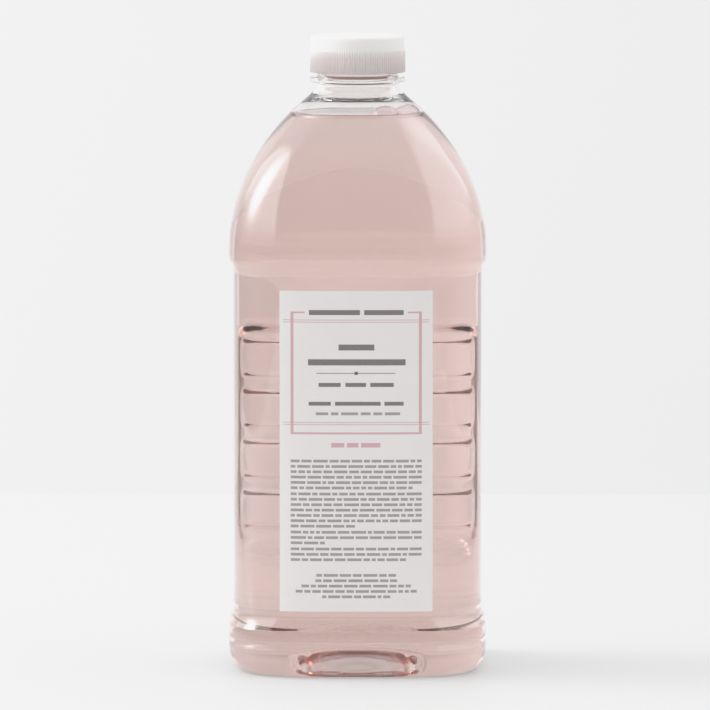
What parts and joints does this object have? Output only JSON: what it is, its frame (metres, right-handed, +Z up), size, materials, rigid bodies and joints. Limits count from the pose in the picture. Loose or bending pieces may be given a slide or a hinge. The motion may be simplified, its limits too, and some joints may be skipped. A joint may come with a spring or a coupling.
{
  "type": "hand soap refill pack",
  "caption": "Clear blown oblong bottle of pink liquid soap with a front label, back finger grips, a ringed screw neck and a ribbed milky screw cap with a sealing disc.",
  "frame": {"origin": "centre of the base, on the surface the bottle stands on", "axes": "+Z up along the neck, -Y out of the front label, +X to the right of someone reading the label"},
  "size_m": [0.111, 0.1008, 0.272],
  "materials": {
    "clear_plastic": "clear blown PET, glossy inside and out",
    "pink_soap": "clear pale pink liquid",
    "label_film": "smooth satin label stock with a pale warm white face",
    "milky_plastic": "milky translucent moulded polypropylene",
    "foam_disc": "white closed-cell foam"
  },
  "bodies": {
    "bottle": {"bottle": "clear_plastic", "soap": "pink_soap", "front_label": "label_film"},
    "liner": {"cap_liner": "foam_disc"},
    "cap": {"cap": "milky_plastic"}
  },
  "joints": [
    {"name": "cap_lift", "type": "slide", "parent": "bottle", "child": "liner", "axis": [0, 0, 1], "range_m": [0, 0.01695]},
    {"name": "cap_turn", "type": "hinge", "parent": "liner", "child": "cap", "pos_m": [0, 0, 0.264], "axis": [0, 0, 1], "range_deg": [0, 1440]}
  ],
  "couplings": [
    {"joint": "cap_lift", "follows": "cap_turn", "m_per_rad": 0.0006737}
  ]
}
